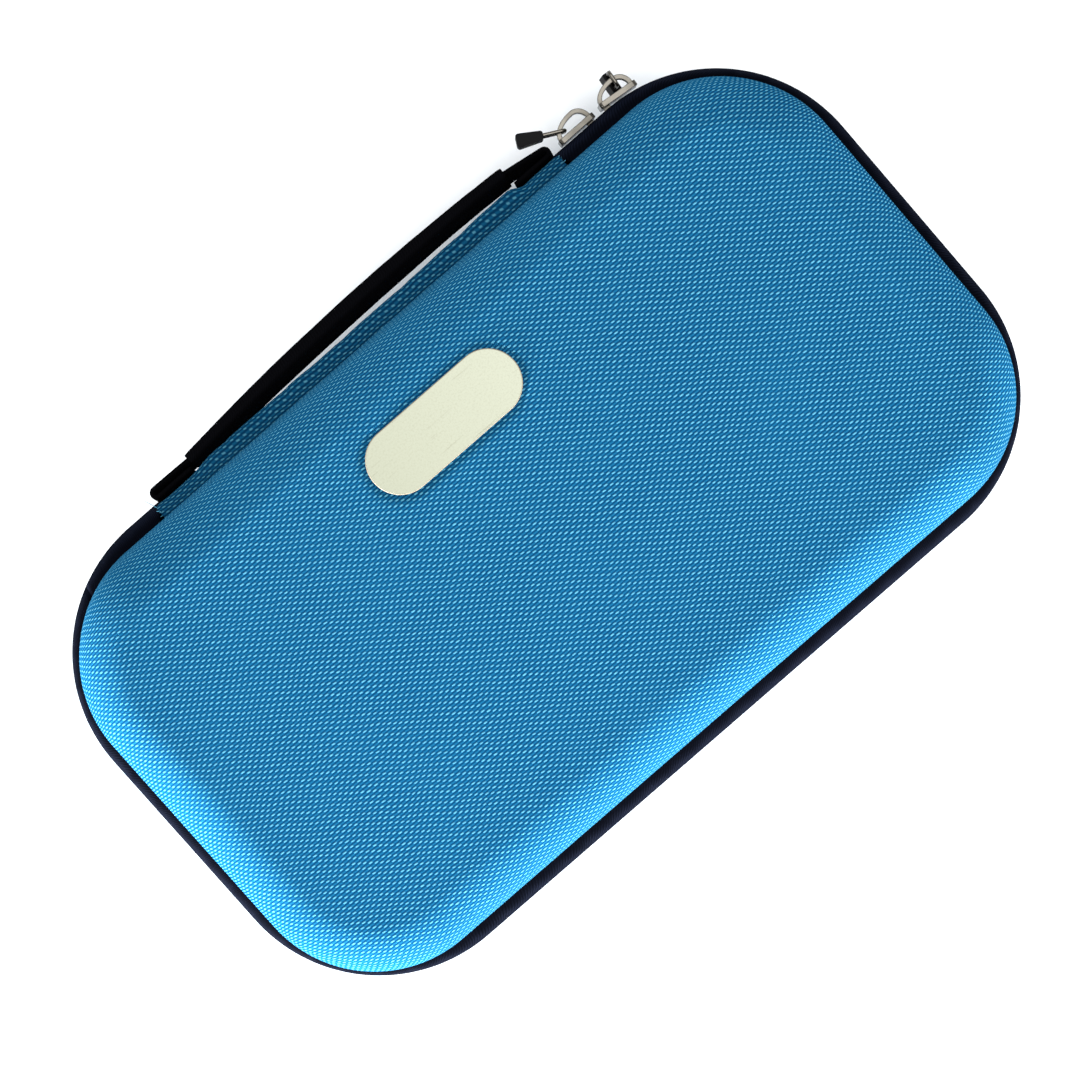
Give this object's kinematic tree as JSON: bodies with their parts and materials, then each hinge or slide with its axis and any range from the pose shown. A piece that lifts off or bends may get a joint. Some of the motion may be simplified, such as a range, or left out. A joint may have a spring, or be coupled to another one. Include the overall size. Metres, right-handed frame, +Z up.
{
  "type": "stethoscope hard case",
  "caption": "Moulded clamshell zip case for a stethoscope, with fabric-covered halves, a spine, two sliders, a webbing handle and a bare nameplate.",
  "frame": {"origin": "middle of the base's flat rest face, with the case lying closed", "axes": "+X along the case's length, +Y towards the spine and the handle, +Z up through the lid"},
  "size_m": [0.2758, 0.1674, 0.0621],
  "materials": {
    "shell_fabric": "plain-woven ballistic nylon, mid blue",
    "spine_fabric": "the same blue weave",
    "zip_tape": "close woven black tape, slight sheen",
    "coil_nylon": "black nylon coil",
    "lining_fabric": "black knitted lining",
    "binding_tape": "black grosgrain",
    "mesh": "black open mesh",
    "elastic": "black ribbed elastic",
    "patch": "black leatherette",
    "handle_webbing": "black polypropylene webbing",
    "grip_fabric": "black woven sleeve, stitched",
    "slider_metal": "satin nickel",
    "pull_rubber": "moulded black rubber",
    "plate_metal": "bare, fine brushed, satin",
    "glue": "dull"
  },
  "bodies": {
    "base": {"base_shell": "shell_fabric", "base_lining": "lining_fabric", "base_zip_tape": "zip_tape", "base_zip_teeth": "coil_nylon", "zip_stops": "coil_nylon", "base_binding": "binding_tape", "spine_cover": "spine_fabric", "spine_lining": "lining_fabric", "lid_zip_end_right": "zip_tape", "lid_zip_end_left": "zip_tape", "handle_anchor_left": "handle_webbing", "handle_anchor_right": "handle_webbing", "handle_end_left": "handle_webbing", "handle_end_right": "handle_webbing", "retaining_strap": "elastic", "strap_patches": "patch"},
    "lid": {"lid_shell": "shell_fabric", "lid_lining": "lining_fabric", "nameplate": "plate_metal", "nameplate_glue": "glue", "lid_zip_tape": "zip_tape", "lid_zip_teeth": "coil_nylon", "lid_binding": "binding_tape", "mesh_pocket": "mesh", "pocket_hem": "binding_tape"},
    "slider_1": {"slider_1_body": "slider_metal", "slider_1_bridge": "slider_metal"},
    "slider_2": {"slider_2_body": "slider_metal", "slider_2_bridge": "slider_metal"},
    "pull_1": {"pull_1_link": "slider_metal", "pull_1_tab": "pull_rubber"},
    "pull_2": {"pull_2_link": "slider_metal", "pull_2_tab": "pull_rubber"},
    "handle": {"handle_grip": "grip_fabric", "handle_core": "handle_webbing"}
  },
  "joints": [
    {"name": "lid_hinge", "type": "hinge", "parent": "base", "child": "lid", "pos_m": [0, 0.08075, 0.031], "axis": [-1, 0, 0], "range_deg": [0, 135], "deforming": ["spine_cover", "spine_lining", "lid_zip_end_right", "lid_zip_end_left"]},
    {"name": "slider_1_run", "type": "hinge", "parent": "base", "child": "slider_1", "pos_m": [0.09, 0.03025, 0.031], "axis": [0, 0, -1], "range_deg": [0, 80]},
    {"name": "slider_2_run", "type": "slide", "parent": "base", "child": "slider_2", "axis": [1, 0, 0], "range_m": [0, 0.0015]},
    {"name": "pull_1_swing", "type": "hinge", "parent": "slider_1", "child": "pull_1", "pos_m": [0.09718, 0.08321, 0.031], "axis": [0.9945, -0.1045, 0], "range_deg": [0, 90]},
    {"name": "pull_2_swing", "type": "hinge", "parent": "slider_2", "child": "pull_2", "pos_m": [0.0774, 0.08115, 0.031], "axis": [0, 0, 1], "range_deg": [-110, 4]},
    {"name": "handle_swing", "type": "hinge", "parent": "base", "child": "handle", "pos_m": [0, 0.08033, 0.02554], "axis": [-1, 0, 0], "range_deg": [-25, 40], "deforming": ["handle_end_left", "handle_end_right"]}
  ]
}
